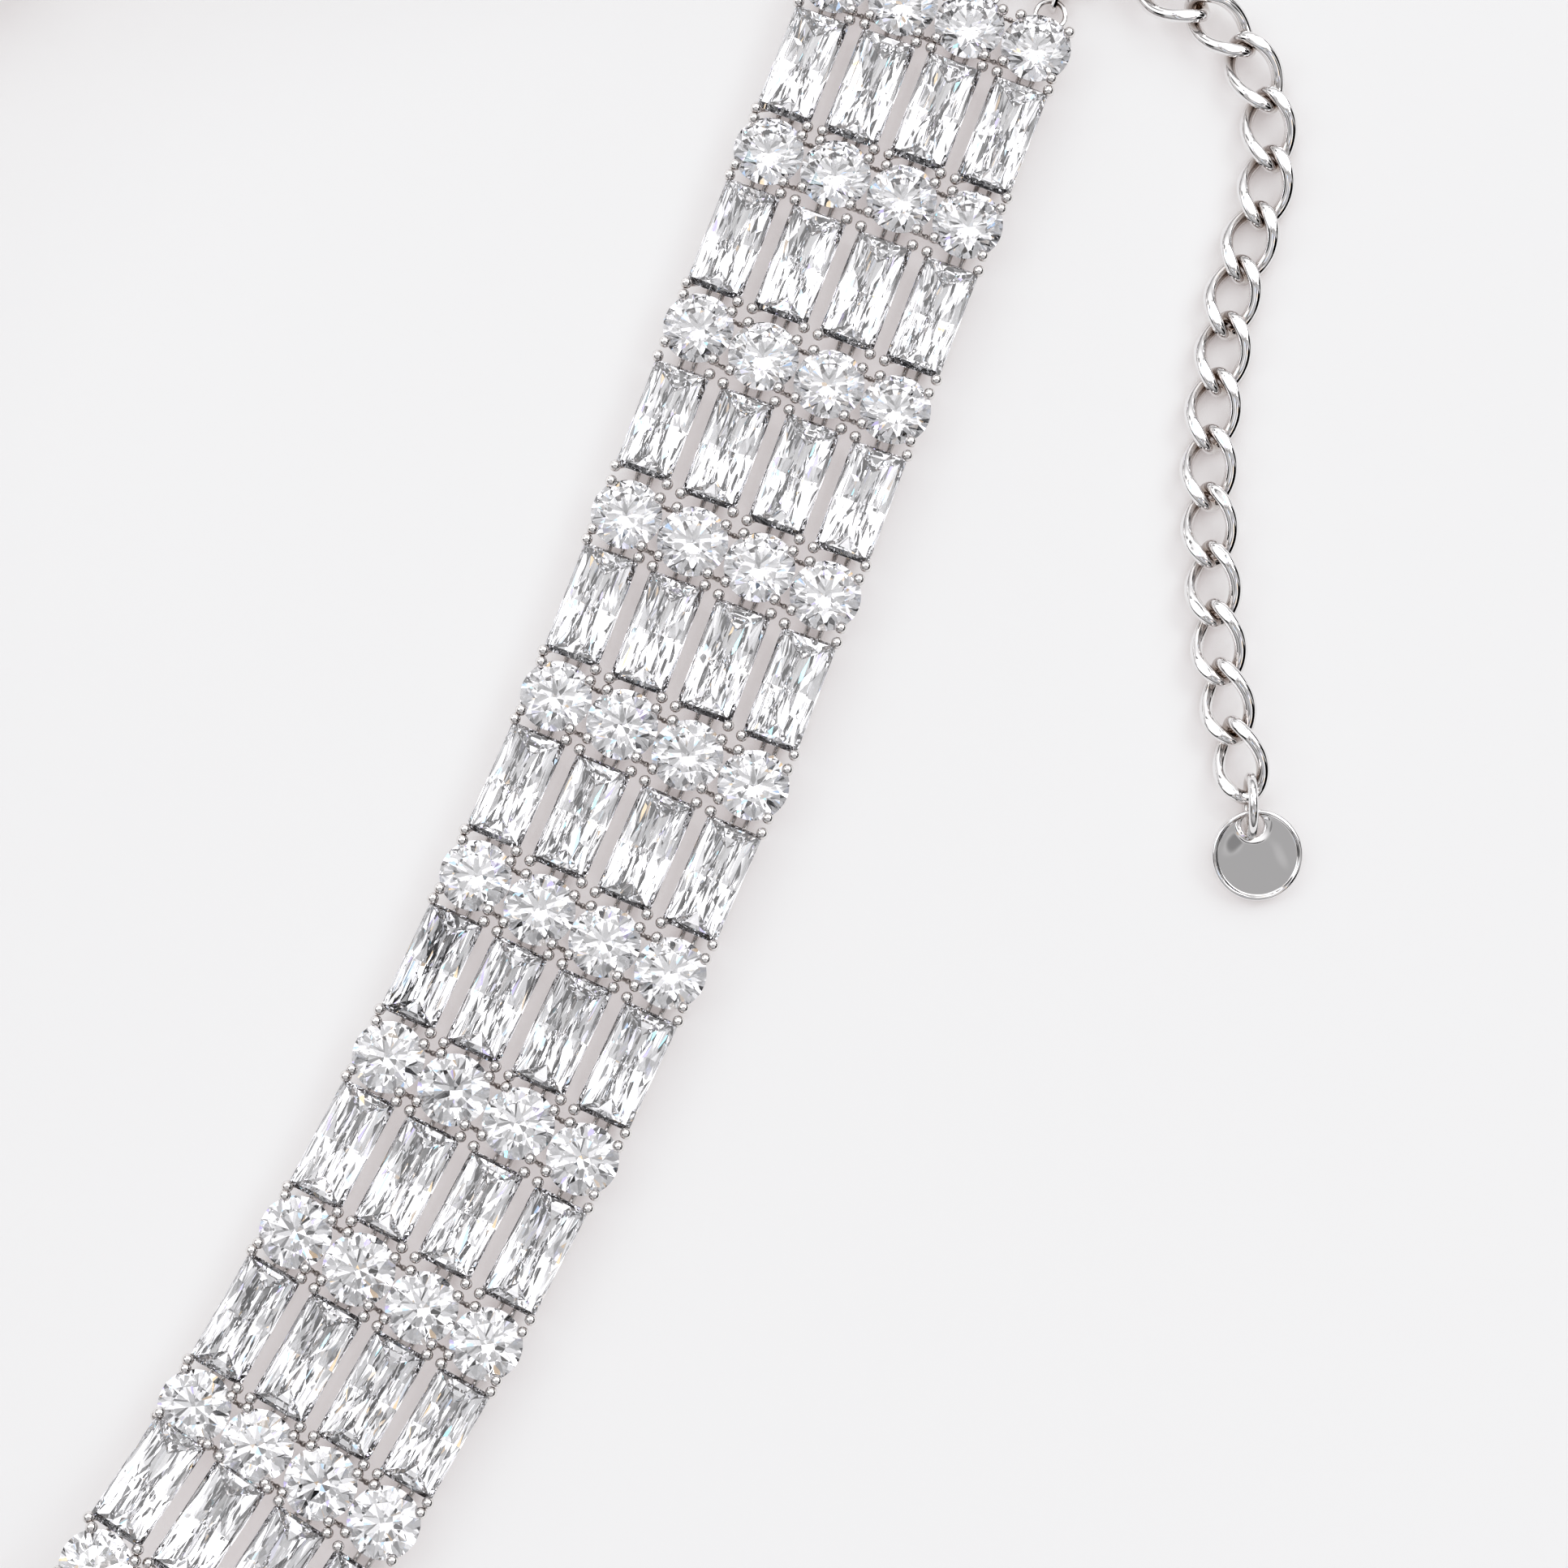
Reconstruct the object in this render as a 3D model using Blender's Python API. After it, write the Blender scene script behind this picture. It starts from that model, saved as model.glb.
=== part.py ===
"""Choker necklace: four strands of round and oblong cut stones between two end bars, closed by a
ring and a clasp, with an extender chain that ends in a plain round tag.

The necklace lies on a level surface. Its front stretch lies flat, stones up. Past it the band leans
over on its edge and runs round the back of the loop with its stones facing out, up to the clasp.
Metres, +Z up, origin at the middle of the bottom of the whole necklace."""

import math

import bmesh
import bpy
from mathutils import Matrix, Vector

MM = 0.001
UP = Vector((0.0, 0.0, 1.0))

# Stones and strands
STRANDS = 4
PITCH = 12.1 * MM  # from one round stone to the next along a strand
STRAND_SPACING = 4.36 * MM
ROUND_WIDTH = 4.25 * MM
OBLONG_LENGTH = 7.05 * MM
OBLONG_WIDTH = 3.5 * MM
SETTING_HEIGHT = 0.7 * MM  # of the rail under the stones
PAVILION_HEIGHT = 1.5 * MM  # from the rail's top to the girdle
CROWN_HEIGHT = 0.65 * MM
RAIL_WIDTH = 2.0 * MM
ROUND_SIDES = 8
ROUND_TABLE = 0.57  # width of a round stone's table, as a share of the stone's
ROUND_SEAT = 0.64  # length of the rail's block under a stone, as a share of the stone's
OBLONG_SEAT = 0.82
# Levels of an oblong stone's crown: share of the crown's height, and of the stone's width cut back
OBLONG_TIERS = ((0.0, 0.0), (0.55, 0.12), (1.0, 0.29))

# Rings, eyelets, bars and clasp
STRAND_RING_WIRE = 0.36 * MM
STRAND_EYE_WIRE = 0.36 * MM
SMALL_GAP = 0.26 * MM  # between the wires of two pieces that hook into each other
STRAND_EYE_HEIGHT = 0.82 * MM  # of the eyelets' and small rings' middle over the surface
BAR_THICKNESS = 1.2 * MM
BAR_OVERHANG = 0.9 * MM  # past the outer strands' eyelets
BAR_EYE_REACH = 0.55 * MM  # from an eyelet's middle to the bar's face
BAR_HEIGHT = 1.3 * MM  # of the bars' middle out from the band's underside
RING_HEIGHT = 1.9 * MM  # of the clasp ring's middle
OUTER_EYE_WIRE = 0.5 * MM
EYE_BITE = 0.4  # how deep an eyelet's wire sinks into its piece, as a share of the wire
CLASP_RING_RADIUS = 2.3 * MM  # to the middle of the wire
CLASP_RING_WIRE = 0.9 * MM
TAIL_RING_RADIUS = 1.7 * MM
TAIL_RING_WIRE = 0.6 * MM
CLASP_THICKNESS = 1.2 * MM
HOOK_HOLE_RADIUS = 1.5 * MM
TAIL_HOLE_RADIUS = 0.75 * MM
CLASP_RIM = 0.8 * MM
HOOK_SLACK = 0.1 * MM
TAIL_RIM = 0.56 * MM  # around the clasp's small hole
SURFACE_GAP = 0.03 * MM  # under the pieces that rest on the surface beside the band

# Extender chain and tag
CHAIN_RING_RADIUS = 1.8 * MM
CHAIN_RING_WIRE = 0.7 * MM
CHAIN_RING_ROLL = math.radians(-56)
LINK_PITCH = 3.66 * MM
LINK_WIDTH = 3.4 * MM
LINK_WIRE = 0.7 * MM
LINK_SEGMENTS = 12
LINK_GAP = 0.37 * MM  # between two hooked links' wires
LINK_TWIST = math.radians(-51)  # of a link's far end, and the other way at its near end
LAST_ROLL = math.radians(46)  # of the last link, towards the tag's ring
ROLLING_LINKS = 7
SINKING_LINKS = 7  # over which the chain comes down to the surface
TAG_RING_RADIUS = 1.72 * MM
TAG_RING_WIRE = 0.62 * MM
TAG_WIDTH = 5.5 * MM
TAG_THICKNESS = 0.8 * MM
TAG_HOLE = 1.4 * MM  # its width
TAG_RIM = 0.45 * MM
TAG_DISH = 0.14 * MM
TAG_HOLE_INSET = 0.25 * MM  # from the rim to the hole's edge
TAG_LEAN = math.radians(14)  # the tag's ring lifts its upper edge

# The band's route: chosen points, in stone pitches from the first row, one way round the loop
BAND_ROUTE = [
    (0.0, 0.0), (-0.349, -0.917), (-0.714, -1.872), (-1.067, -2.826), (-1.419, -3.77),
    (-1.821, -4.701), (-2.237, -5.6), (-2.691, -6.486), (-3.171, -7.337), (-3.7, -8.18),
    (-4.3, -8.96), (-4.95, -9.67), (-5.63, -10.34), (-6.18, -10.72), (-6.96, -10.76),
    (-7.62, -10.34), (-7.92, -9.6), (-7.86, -8.6), (-7.62, -7.2), (-7.34, -5.7), (-6.98, -4.2),
    (-6.52, -2.8), (-5.92, -1.4), (-5.1, -0.12), (-4.0, 0.72), (-2.75, 1.15), (-1.5, 1.25),
]
# How far the visible rows have slid along the band, as shares of the pitch, and their skew
ROW_SLIDE = (0.0, -0.014, 0.01, 0.03, 0.038, 0.05, 0.044, 0.038, 0.016)
ROW_SKEW = (-1.0, 0.0, 2.4, 2.8, 2.5, 2.8, 1.9, 1.6, 0.8)
STONE_PLAY = 0.006  # each stone's own slide along its strand, as a share of the pitch
RISE_ROWS = (8.0, 12.4)  # where the band leans over on its edge
EDGE_TILT = math.radians(89)

# The extender chain's route: chosen points, in link pitches from the clasp ring's middle
CHAIN_ROUTE = [
    (0.0, 0.0), (1.6, -0.8), (3.16, -1.78), (3.98, -2.29), (4.55, -3.07), (4.8, -4.05),
    (4.74, -5.1), (4.45, -6.07), (4.15, -7.02), (3.97, -8.0), (3.79, -9.0), (3.7, -10.0),
    (3.69, -11.0), (3.73, -12.02), (3.8, -13.04), (3.93, -14.05), (4.14, -15.1), (4.18, -15.28),
]
TAG_RING_HEADING = math.radians(-89)
TAG_HEADING = math.radians(-73)


def material(name, colour, metallic, roughness):
    """A plain material with the piece's colour and finish."""
    made = bpy.data.materials.new(name)
    made.use_nodes = True
    shader = made.node_tree.nodes["Principled BSDF"]
    shader.inputs["Base Color"].default_value = (*colour, 1.0)
    shader.inputs["Metallic"].default_value = metallic
    shader.inputs["Roughness"].default_value = roughness
    return made


def new_object(name, bm, materials, matrix=None, parent=None):
    """An object from the bmesh, with its faces pointing out."""
    bmesh.ops.recalc_face_normals(bm, faces=bm.faces)
    mesh = bpy.data.meshes.new(name)
    bm.to_mesh(mesh)
    bm.free()
    for one in materials:
        mesh.materials.append(one)
    return placed(name, mesh, matrix, parent)


def placed(name, mesh, matrix=None, parent=None):
    """An object that shows the mesh at a place given by a matrix."""
    thing = bpy.data.objects.new(name, mesh)
    bpy.context.collection.objects.link(thing)
    thing.parent = parent
    if matrix is not None:
        thing.matrix_local = matrix
    return thing


def basis(along, across, up, place):
    """A matrix from three unit directions and a place."""
    turn = Matrix((along, across, up)).transposed().to_4x4()
    return Matrix.Translation(place) @ turn


def level(vector):
    """The vector without its rise."""
    return Vector((vector.x, vector.y, 0.0))


def heading(angle):
    """The level direction at an angle from X."""
    return Vector((math.cos(angle), math.sin(angle), 0.0))


def shared_mesh(name, bm, silver):
    """A mesh that several objects show."""
    bmesh.ops.recalc_face_normals(bm, faces=bm.faces)
    mesh = bpy.data.meshes.new(name)
    bm.to_mesh(mesh)
    bm.free()
    mesh.materials.append(silver)
    return mesh


def level_basis(direction, place):
    """A matrix whose X axis follows a level direction, with Z up."""
    along = level(direction).normalized()
    return basis(along, UP.cross(along), UP, place)


class Route:
    """A smooth level curve through chosen points, read by its length."""

    STEPS = 16

    def __init__(self, points, unit):
        flat = [Vector(p) * unit for p in points]
        ends = [flat[0] * 2 - flat[1], *flat, flat[-1] * 2 - flat[-2]]
        self.places = [flat[0]]
        for a, b, c, d in zip(ends, ends[1:], ends[2:], ends[3:]):
            for k in range(1, self.STEPS + 1):
                t = k / self.STEPS
                self.places.append(
                    0.5 * ((2 * b) + (c - a) * t + (2 * a - 5 * b + 4 * c - d) * t**2
                           + (3 * b - a - 3 * c + d) * t**3)
                )
        self.marks = [0.0]
        for a, b in zip(self.places, self.places[1:]):
            self.marks.append(self.marks[-1] + (b - a).length)
        self.length = self.marks[-1]

    def at(self, distance):
        """The place at a distance along the curve, straight on past its ends."""
        k = 1
        while k < len(self.marks) - 1 and self.marks[k] < distance:
            k += 1
        a, b = self.places[k - 1], self.places[k]
        share = (distance - self.marks[k - 1]) / (self.marks[k] - self.marks[k - 1])
        return a.lerp(b, share)

    def direction(self, distance, reach):
        """The level direction at a distance, over a short reach each way."""
        return (self.at(distance + reach) - self.at(distance - reach)).to_3d().normalized()


def smoothstep(share):
    """Eases from 0 to 1, and holds past both."""
    share = min(max(share, 0.0), 1.0)
    return share * share * (3 - 2 * share)


BAND = Route(BAND_ROUTE, PITCH)
HALF_BAND = (STRANDS - 1) / 2 * STRAND_SPACING + ROUND_WIDTH / 2


def tilt(row):
    """How far the band leans over at a row, from flat to standing on its edge."""
    return EDGE_TILT * smoothstep((row - RISE_ROWS[0]) / (RISE_ROWS[1] - RISE_ROWS[0]))


def edge_height(row):
    """How high the band's middle is where its lower edge rests on the surface."""
    return HALF_BAND * math.sin(tilt(row))


def row_marks():
    """Each row's distance along the route, one pitch from the last as the band itself measures."""
    marks = [0.0]
    while True:
        climb = edge_height(len(marks)) - edge_height(len(marks) - 1)
        mark = marks[-1] + math.sqrt(PITCH**2 - climb**2)
        if mark > BAND.length:
            return marks
        marks.append(mark)


MARKS = row_marks()
LAST_ROW = len(MARKS) - 1


def centre(row):
    """The middle of the band's underside at a row or between two."""
    k = min(max(int(row), 0), LAST_ROW - 1)
    spot = BAND.at(MARKS[k] + (MARKS[k + 1] - MARKS[k]) * (row - k))
    return Vector((spot.x, spot.y, edge_height(row)))


def row_frame(row):
    """Directions along the band, across it from the first strand to the last, and out of its face."""
    along = (centre(row + 0.2) - centre(row - 0.2)).normalized()
    side = UP.cross(along).normalized()
    lean = tilt(row)
    across = side * math.cos(lean) - UP * math.sin(lean)
    across = (across - along * across.dot(along)).normalized()
    return along, across, along.cross(across)


def listed(table, row):
    """A row's entry, or nothing past the table's end."""
    return table[row] if row < len(table) else 0.0


def round_matrix(row, strand):
    """Where the round stone of a strand sits in a row."""
    along, across, face = row_frame(row)
    skew = math.radians(listed(ROW_SKEW, row))
    line = across * math.cos(skew) + along * math.sin(skew)
    slide = listed(ROW_SLIDE, row) + STONE_PLAY * math.sin(2.4 * row + 1.7 * strand)
    if row in (0, LAST_ROW):
        slide = 0.0
    place = centre(row) + along * slide * PITCH + line * (strand - (STRANDS - 1) / 2) * STRAND_SPACING
    return basis(along, across, face, place)


def oblong_matrix(row, strand):
    """Where the oblong stone sits between the round stones of a row and the next."""
    before, after = round_matrix(row, strand), round_matrix(row + 1, strand)
    along = (after.translation - before.translation).normalized()
    face = before.col[2].to_3d() + after.col[2].to_3d()
    face = (face - along * face.dot(along)).normalized()
    return basis(along, face.cross(along), face, before.translation.lerp(after.translation, 0.5))


GIRDLE = SETTING_HEIGHT + PAVILION_HEIGHT
TABLE = GIRDLE + CROWN_HEIGHT


def ring_of_verts(bm, matrix, corners, height):
    """New points at the corners of an outline at a height in the matrix's frame."""
    return [bm.verts.new(matrix @ Vector((u, v, height))) for u, v in corners]


def rectangle(length, width):
    return [(length / 2, -width / 2), (length / 2, width / 2),
            (-length / 2, width / 2), (-length / 2, -width / 2)]


def polygon(sides, width, turn=0.0):
    angles = [turn + math.tau * k / sides for k in range(sides)]
    return [(width / 2 * math.cos(a), width / 2 * math.sin(a)) for a in angles]


def pairs(ring):
    """Each entry with the next, round to the first."""
    return zip(ring, ring[1:] + ring[:1])


def faces_between(bm, low, high, slot):
    """A quad between each pair of points of two rings of the same count."""
    for (a, b), (c, d) in zip(pairs(low), pairs(high)):
        bm.faces.new((a, b, d, c)).material_index = slot


def round_stone(bm, matrix, rail):
    """Pavilion, kite crown and table of a round stone, over the rail's four top corners."""
    half = math.pi / ROUND_SIDES
    girdle = ring_of_verts(bm, matrix, polygon(ROUND_SIDES, ROUND_WIDTH, half - math.pi / 4), GIRDLE)
    table = ring_of_verts(bm, matrix, polygon(ROUND_SIDES, ROUND_WIDTH * ROUND_TABLE, -math.pi / 4), TABLE)
    for k in range(4):
        a, b, c = (girdle[2 * k + m] for m in (-1, 0, 1))
        bm.faces.new((rail[k], b, a)).material_index = 1
        bm.faces.new((rail[k], rail[(k + 1) % 4], c, b)).material_index = 1
    for k in range(ROUND_SIDES):
        a, b = girdle[k - 1], girdle[k]
        bm.faces.new((a, b, table[k])).material_index = 1
        bm.faces.new((b, table[(k + 1) % ROUND_SIDES], table[k])).material_index = 1
    bm.faces.new(table).material_index = 1


def oblong_stone(bm, matrix, rail):
    """Pavilion, two-tier crown and table of an oblong stone, over the rail's four top corners."""
    below = rail
    for share, cut in OBLONG_TIERS:
        height = GIRDLE + CROWN_HEIGHT * share
        trim = cut * OBLONG_WIDTH
        here = ring_of_verts(bm, matrix, rectangle(OBLONG_LENGTH - trim, OBLONG_WIDTH - trim), height)
        faces_between(bm, below, here, 1)
        below = here
    bm.faces.new(below).material_index = 1


def strand_mesh(strand):
    """One strand: a rail that all its stones are set on, closed at both ends."""
    bm = bmesh.new()
    before = None
    for step in range(2 * LAST_ROW + 1):
        row, oblong = divmod(step, 2)
        matrix = oblong_matrix(row, strand) if oblong else round_matrix(row, strand)
        length = OBLONG_LENGTH * OBLONG_SEAT if oblong else ROUND_WIDTH * ROUND_SEAT
        corners = rectangle(length, RAIL_WIDTH)
        foot = ring_of_verts(bm, matrix, corners, 0.0)
        top = ring_of_verts(bm, matrix, corners, SETTING_HEIGHT)
        bm.faces.new(foot)
        for k in (1, 3):
            a, b = k, (k + 1) % 4
            bm.faces.new((foot[a], foot[b], top[b], top[a]))
        (oblong_stone if oblong else round_stone)(bm, matrix, top)
        start = [foot[3], foot[2], top[2], top[3]]
        end = [foot[0], foot[1], top[1], top[0]]
        if before is None:
            bm.faces.new(start)
        else:
            faces_between(bm, before, start, 0)
        before = end
    bm.faces.new(before)
    return bm


def wire_loop(bm, middle, normals, wire, sides):
    """A closed wire along middle, its section turned by the normals."""
    count = len(middle)
    rings = []
    for k in range(count):
        ahead = (middle[(k + 1) % count] - middle[k - 1]).normalized()
        out = ahead.cross(normals[k]).normalized()
        rise = out.cross(ahead)
        rings.append([
            bm.verts.new(middle[k] + wire / 2 * (out * math.cos(a) + rise * math.sin(a)))
            for a in (math.tau * m / sides for m in range(sides))
        ])
    for k in range(count):
        faces_between(bm, rings[k], rings[(k + 1) % count], 0)


def add_ring(bm, matrix, radius, wire, segments=12, sides=5):
    """A round wire ring in the matrix's XY plane."""
    spots = [Vector((*p, 0.0)) for p in polygon(segments, 2 * radius)]
    middle = [matrix @ p for p in spots]
    wire_loop(bm, middle, [matrix.col[2].to_3d()] * segments, wire, sides)


def ring_mesh(radius, wire, segments=12, sides=5):
    bm = bmesh.new()
    add_ring(bm, Matrix.Identity(4), radius, wire, segments, sides)
    return bm


LINK_REACH = (LINK_PITCH + LINK_WIRE + LINK_GAP) / 2  # from a link's middle to its end's


def link_mesh():
    """A curb link: an oval of wire whose two ends are twisted opposite ways."""
    wide = (LINK_WIDTH - LINK_WIRE) / 2
    middle, normals = [], []
    for k in range(LINK_SEGMENTS):
        angle = math.tau * k / LINK_SEGMENTS
        twist = LINK_TWIST * math.cos(angle)
        across = Vector((0.0, math.cos(twist), math.sin(twist)))
        middle.append(Vector((LINK_REACH * math.cos(angle), 0.0, 0.0)) + across * wide * math.sin(angle))
        normals.append(Vector((0.0, -math.sin(twist), math.cos(twist))))
    bm = bmesh.new()
    wire_loop(bm, middle, normals, LINK_WIRE, 5)
    return bm


def link_spots(chain, first):
    """The links' places along the chain's route, each a link pitch from the one before."""
    marks = [first]
    while True:
        mark = marks[-1] + LINK_PITCH
        mark += LINK_PITCH - (chain.at(mark) - chain.at(marks[-1])).length
        if mark > chain.length:
            return [chain.at(m) for m in marks]
        marks.append(mark)


def join(thing, helper, operation="UNION"):
    """Joins or cuts an object by a helper that isn't part of the necklace."""
    helper.hide_render = True
    helper.display_type = "WIRE"
    change = thing.modifiers.new(operation.lower(), "BOOLEAN")
    change.operation = operation
    change.object = helper


STRAND_RING_RADIUS = (2 * STRAND_EYE_WIRE + 3 * SMALL_GAP + STRAND_RING_WIRE) / 2
STRAND_EYE_RADIUS = STRAND_RING_WIRE / 2 + SMALL_GAP + STRAND_EYE_WIRE / 2
STRAND_EYE_REACH = ROUND_WIDTH * ROUND_SEAT / 2 + STRAND_EYE_RADIUS - STRAND_EYE_WIRE * EYE_BITE
BAR_REACH = STRAND_EYE_REACH + 2 * STRAND_RING_RADIUS + BAR_EYE_REACH + BAR_THICKNESS / 2


def upright_basis(direction, place):
    """A matrix whose XY plane is upright and holds a level direction."""
    along = level(direction).normalized()
    return basis(along, UP, along.cross(UP), place)


def end_matrix(row, strand, reach, height):
    """A place past the band's end: X out of that end, Y across the band, Z out of its face."""
    matrix = round_matrix(row, strand)
    out = matrix.col[0].to_3d() * (-1 if row == 0 else 1)
    face = matrix.col[2].to_3d()
    return basis(out, face.cross(out), face, matrix.translation + out * reach + face * height)


def on_edge(matrix):
    """The same place with the XY plane turned to hold X and the face's direction."""
    return matrix @ Matrix.Rotation(math.pi / 2, 4, "X")


def strand_eye(row, strand, root):
    """An eyelet that stands on the end of a strand."""
    bm = ring_mesh(STRAND_EYE_RADIUS, STRAND_EYE_WIRE, 8, 5)
    matrix = on_edge(end_matrix(row, strand, STRAND_EYE_REACH, STRAND_EYE_HEIGHT))
    return new_object(f"helper_eye_{row}_{strand}", bm, [], matrix, root)


def bar_eye_radius(ring_wire):
    """The radius of a bar's outer eyelet for the ring that passes through it."""
    return ring_wire / 2 + SMALL_GAP + OUTER_EYE_WIRE / 2


def end_bar(name, row, ring_wire, rise, towards, silver, root):
    """A straight bar that gathers the strands, with an eyelet for each and one on its outer side."""
    first = end_matrix(row, 0, BAR_REACH, BAR_HEIGHT)
    last = end_matrix(row, STRANDS - 1, BAR_REACH, BAR_HEIGHT)
    middle, span = (first.translation + last.translation) / 2, last.translation - first.translation
    out, line = first.col[0].to_3d(), span.normalized()
    out = (out - line * out.dot(line)).normalized()
    frame = basis(line, out, line.cross(out), middle)
    bm = bmesh.new()
    add_box(bm, Matrix.Identity(4), (span.length + 2 * BAR_OVERHANG, BAR_THICKNESS, BAR_THICKNESS))
    bar = new_object(name, bm, [silver], frame, root)
    eyes = bmesh.new()
    for strand in range(STRANDS):
        place = end_matrix(row, strand, STRAND_EYE_REACH + 2 * STRAND_RING_RADIUS, STRAND_EYE_HEIGHT)
        add_ring(eyes, on_edge(place), STRAND_EYE_RADIUS, STRAND_EYE_WIRE, 8, 5)
    radius = bar_eye_radius(ring_wire)
    spot = middle + out * (BAR_THICKNESS / 2 + radius - OUTER_EYE_WIRE * EYE_BITE) + UP * rise
    add_ring(eyes, upright_basis(towards - spot if towards else out, spot), radius, OUTER_EYE_WIRE, 10)
    join(bar, new_object(f"helper_{name}", eyes, [], None, root))
    return spot, out


def add_box(bm, matrix, size):
    """A box about the matrix's origin."""
    made = bmesh.ops.create_cube(bm, size=1.0)["verts"]
    bmesh.ops.scale(bm, vec=size, verts=made)
    bmesh.ops.transform(bm, matrix=matrix, verts=made)


def disc(bm, matrix, radius, thickness, sides):
    """A short round bar along the matrix's Z axis."""
    bmesh.ops.create_cone(
        bm, cap_ends=True, segments=sides, radius1=radius, radius2=radius, depth=thickness, matrix=matrix
    )


def clasp(hook, tail, silver, root):
    """A closed hook on an oval plate that stands on edge, with a hole at each end."""
    along = (tail - hook).normalized()
    upward = (UP - along * UP.dot(along)).normalized()
    matrix = basis(along, upward, along.cross(upward), hook)
    span = (tail - hook).length
    big, small = HOOK_HOLE_RADIUS + CLASP_RIM, TAIL_HOLE_RADIUS + TAIL_RIM
    lean = math.acos((big - small) / span)
    outline = [
        (big * math.cos(a), big * math.sin(a))
        for a in (lean + (math.tau - 2 * lean) * k / 12 for k in range(13))
    ]
    outline += [
        (span + small * math.cos(a), small * math.sin(a))
        for a in (-lean + 2 * lean * k / 6 for k in range(7))
    ]
    bm = bmesh.new()
    low = [bm.verts.new((x, y, -CLASP_THICKNESS / 2)) for x, y in outline]
    high = [bm.verts.new((x, y, CLASP_THICKNESS / 2)) for x, y in outline]
    bm.faces.new(low)
    bm.faces.new(high)
    faces_between(bm, low, high, 0)
    made = new_object("clasp", bm, [silver], matrix, root)
    holes = bmesh.new()
    disc(holes, Matrix.Identity(4), HOOK_HOLE_RADIUS, 2 * CLASP_THICKNESS, 14)
    disc(holes, Matrix.Translation((span, 0, 0)), TAIL_HOLE_RADIUS, 2 * CLASP_THICKNESS, 10)
    join(made, new_object("helper_clasp_holes", holes, [], matrix, root), "DIFFERENCE")


def tag(place, hole_reach, silver, root):
    """A round tag with a raised rim and a hole near its upper edge."""
    bm = bmesh.new()
    profile = [
        (TAG_WIDTH / 2, -TAG_THICKNESS / 2), (TAG_WIDTH / 2, TAG_THICKNESS / 2),
        (TAG_WIDTH / 2 - TAG_RIM, TAG_THICKNESS / 2),
        (TAG_WIDTH / 2 - 1.6 * TAG_RIM, TAG_THICKNESS / 2 - TAG_DISH),
    ]
    rings = [
        [bm.verts.new((x, y, height)) for x, y in polygon(20, 2 * radius)]
        for radius, height in profile
    ]
    for a, b in zip(rings, rings[1:]):
        faces_between(bm, a, b, 0)
    bm.faces.new(rings[0])
    bm.faces.new(rings[-1])
    made = new_object("tag", bm, [silver], place, root)
    hole = bmesh.new()
    disc(hole, Matrix.Translation((0.0, hole_reach, 0.0)), TAG_HOLE / 2, 3 * TAG_THICKNESS, 12)
    join(made, new_object("helper_tag_hole", hole, [], place, root), "DIFFERENCE")


def extender(hub, silver, root):
    """The ring and the links of the extender chain; returns the last link's place and direction."""
    chain = Route(CHAIN_ROUTE, LINK_PITCH)
    start = CLASP_RING_RADIUS - (CLASP_RING_WIRE + CHAIN_RING_WIRE) / 2 - LINK_GAP + CHAIN_RING_RADIUS
    along = chain.direction(start, LINK_PITCH / 3)
    matrix = level_basis(along, hub + along * start) @ Matrix.Rotation(CHAIN_RING_ROLL, 4, "X")
    new_object("chain_ring", ring_mesh(CHAIN_RING_RADIUS, CHAIN_RING_WIRE), [silver], matrix, root)

    first = start + CHAIN_RING_RADIUS - (CHAIN_RING_WIRE + LINK_WIRE) / 2 - LINK_GAP + LINK_REACH
    link = shared_mesh("chain_link", link_mesh(), silver)
    flat = link_spots(chain, first)
    turns = [
        Matrix.Rotation(LAST_ROLL * smoothstep((k + ROLLING_LINKS) / ROLLING_LINKS), 4, "X")
        for k in range(1 - len(flat), 1)
    ]
    spots = []
    for k, (spot, turn) in enumerate(zip(flat, turns)):
        resting = SURFACE_GAP - min((turn @ v.co).z for v in link.vertices)
        spots.append(hub + Vector((spot.x, spot.y, (resting - hub.z) * smoothstep(k / SINKING_LINKS))))
    for k, place in enumerate(spots):
        along = (spots[min(k + 1, len(spots) - 1)] - spots[max(k - 1, 0)]).normalized()
        across = UP.cross(along).normalized()
        placed(f"chain_link_{k + 1:02d}", link, basis(along, across, along.cross(across), place) @ turns[k], root)
    return place, along


def hang_tag(place, along, silver, root):
    """The upright ring through the last link, and the tag that hangs on it."""
    ring_height = TAG_RING_RADIUS + TAG_RING_WIRE / 2 + SURFACE_GAP
    near = LINK_REACH - (LINK_WIRE + TAG_RING_WIRE) / 2 - LINK_GAP
    ring_spot = place + along * (near + math.sqrt(TAG_RING_RADIUS**2 - (ring_height - place.z)**2))
    ring_spot.z = ring_height
    down = heading(TAG_RING_HEADING)
    new_object("tag_ring", ring_mesh(TAG_RING_RADIUS, TAG_RING_WIRE), [silver],
               upright_basis(down, ring_spot), root)
    middle_height = TAG_WIDTH / 2 * math.sin(TAG_LEAN) + TAG_THICKNESS / 2 * math.cos(TAG_LEAN) + SURFACE_GAP
    hole_reach = TAG_WIDTH / 2 - TAG_RIM - TAG_HOLE / 2 - TAG_HOLE_INSET
    drop = ring_height - (middle_height + hole_reach * math.sin(TAG_LEAN))
    away = heading(TAG_HEADING)
    middle = ring_spot + down * math.sqrt(TAG_RING_RADIUS**2 - drop**2) + away * hole_reach * math.cos(TAG_LEAN)
    middle.z = middle_height
    rise = UP * math.sin(TAG_LEAN) - away * math.cos(TAG_LEAN)
    across = rise.cross(UP).normalized()
    tag(basis(across, rise, across.cross(rise), middle), hole_reach, silver, root)


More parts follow.
